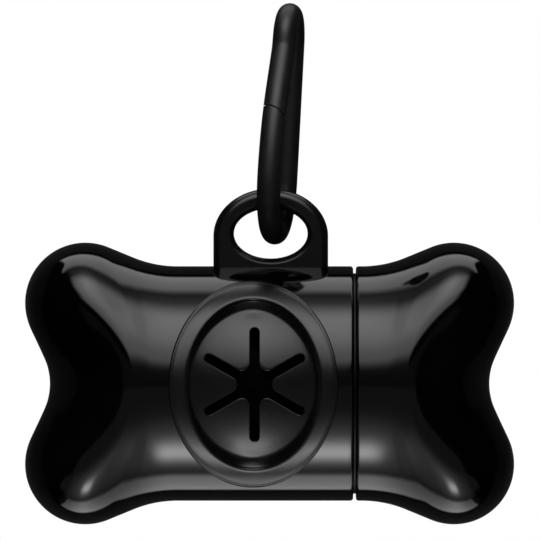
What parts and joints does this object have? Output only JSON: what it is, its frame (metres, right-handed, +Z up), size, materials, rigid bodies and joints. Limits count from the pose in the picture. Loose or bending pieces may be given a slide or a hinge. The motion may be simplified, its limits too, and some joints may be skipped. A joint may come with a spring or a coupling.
{
  "type": "waste bag dispenser",
  "caption": "Bone-shaped dispenser for a roll of dog waste bags, with a screw-off end, a star-slotted outlet and a sprung clip through its lug.",
  "frame": {"origin": "middle of the bone, on the axis of its neck, which is also the middle of the roll chamber", "axes": "+X along the bone towards the screw-off end, -Y the front with the bag outlet, +Z up towards the lug and the clip"},
  "size_m": [0.085, 0.0413, 0.0907],
  "materials": {
    "shell": "high gloss, smooth moulded",
    "rings": "satin, as moulded",
    "insert": "satin, fine even grain",
    "clip": "satin, faintly speckled",
    "film": "thin film, wound tight",
    "cardboard": "spiral-wound paperboard, matt"
  },
  "bodies": {
    "clip": {"clip_frame": "clip"},
    "gate": {"clip_gate": "clip"},
    "dispenser": {"main_shell": "shell", "thread_collar": "rings", "outlet_insert": "insert"},
    "cap_thread": {"cap_ring": "rings"},
    "cap": {"end_cap": "shell"},
    "roll": {"bag_roll": "film", "roll_core": "cardboard"}
  },
  "joints": [
    {"name": "gate_flex", "type": "hinge", "parent": "clip", "child": "gate", "pos_m": [0.00022, -0.00961, 0.03544], "axis": [-0.9863, 0.1564, 0.0517], "range_deg": [0, 28], "stiffness_Nm_per_rad": 0.06},
    {"name": "dispenser_swing", "type": "hinge", "parent": "clip", "child": "dispenser", "pos_m": [0.0002, 0, 0.02604], "axis": [0, 1, 0], "range_deg": [-75, 75]},
    {"name": "cap_travel", "type": "slide", "parent": "dispenser", "child": "cap_thread", "axis": [1, 0, 0], "range_m": [0, 0.0255]},
    {"name": "cap_twist", "type": "hinge", "parent": "cap_thread", "child": "cap", "pos_m": [0.0153, 0, 0], "axis": [1, 0, 0], "range_deg": [0, 1530]},
    {"name": "roll_turn", "type": "hinge", "parent": "dispenser", "child": "roll", "pos_m": [-0.0009, 0, -0.00086], "axis": [1, 0, 0], "continuous": true}
  ],
  "couplings": [
    {"joint": "cap_travel", "follows": "cap_twist", "m_per_rad": 0.00095493}
  ]
}
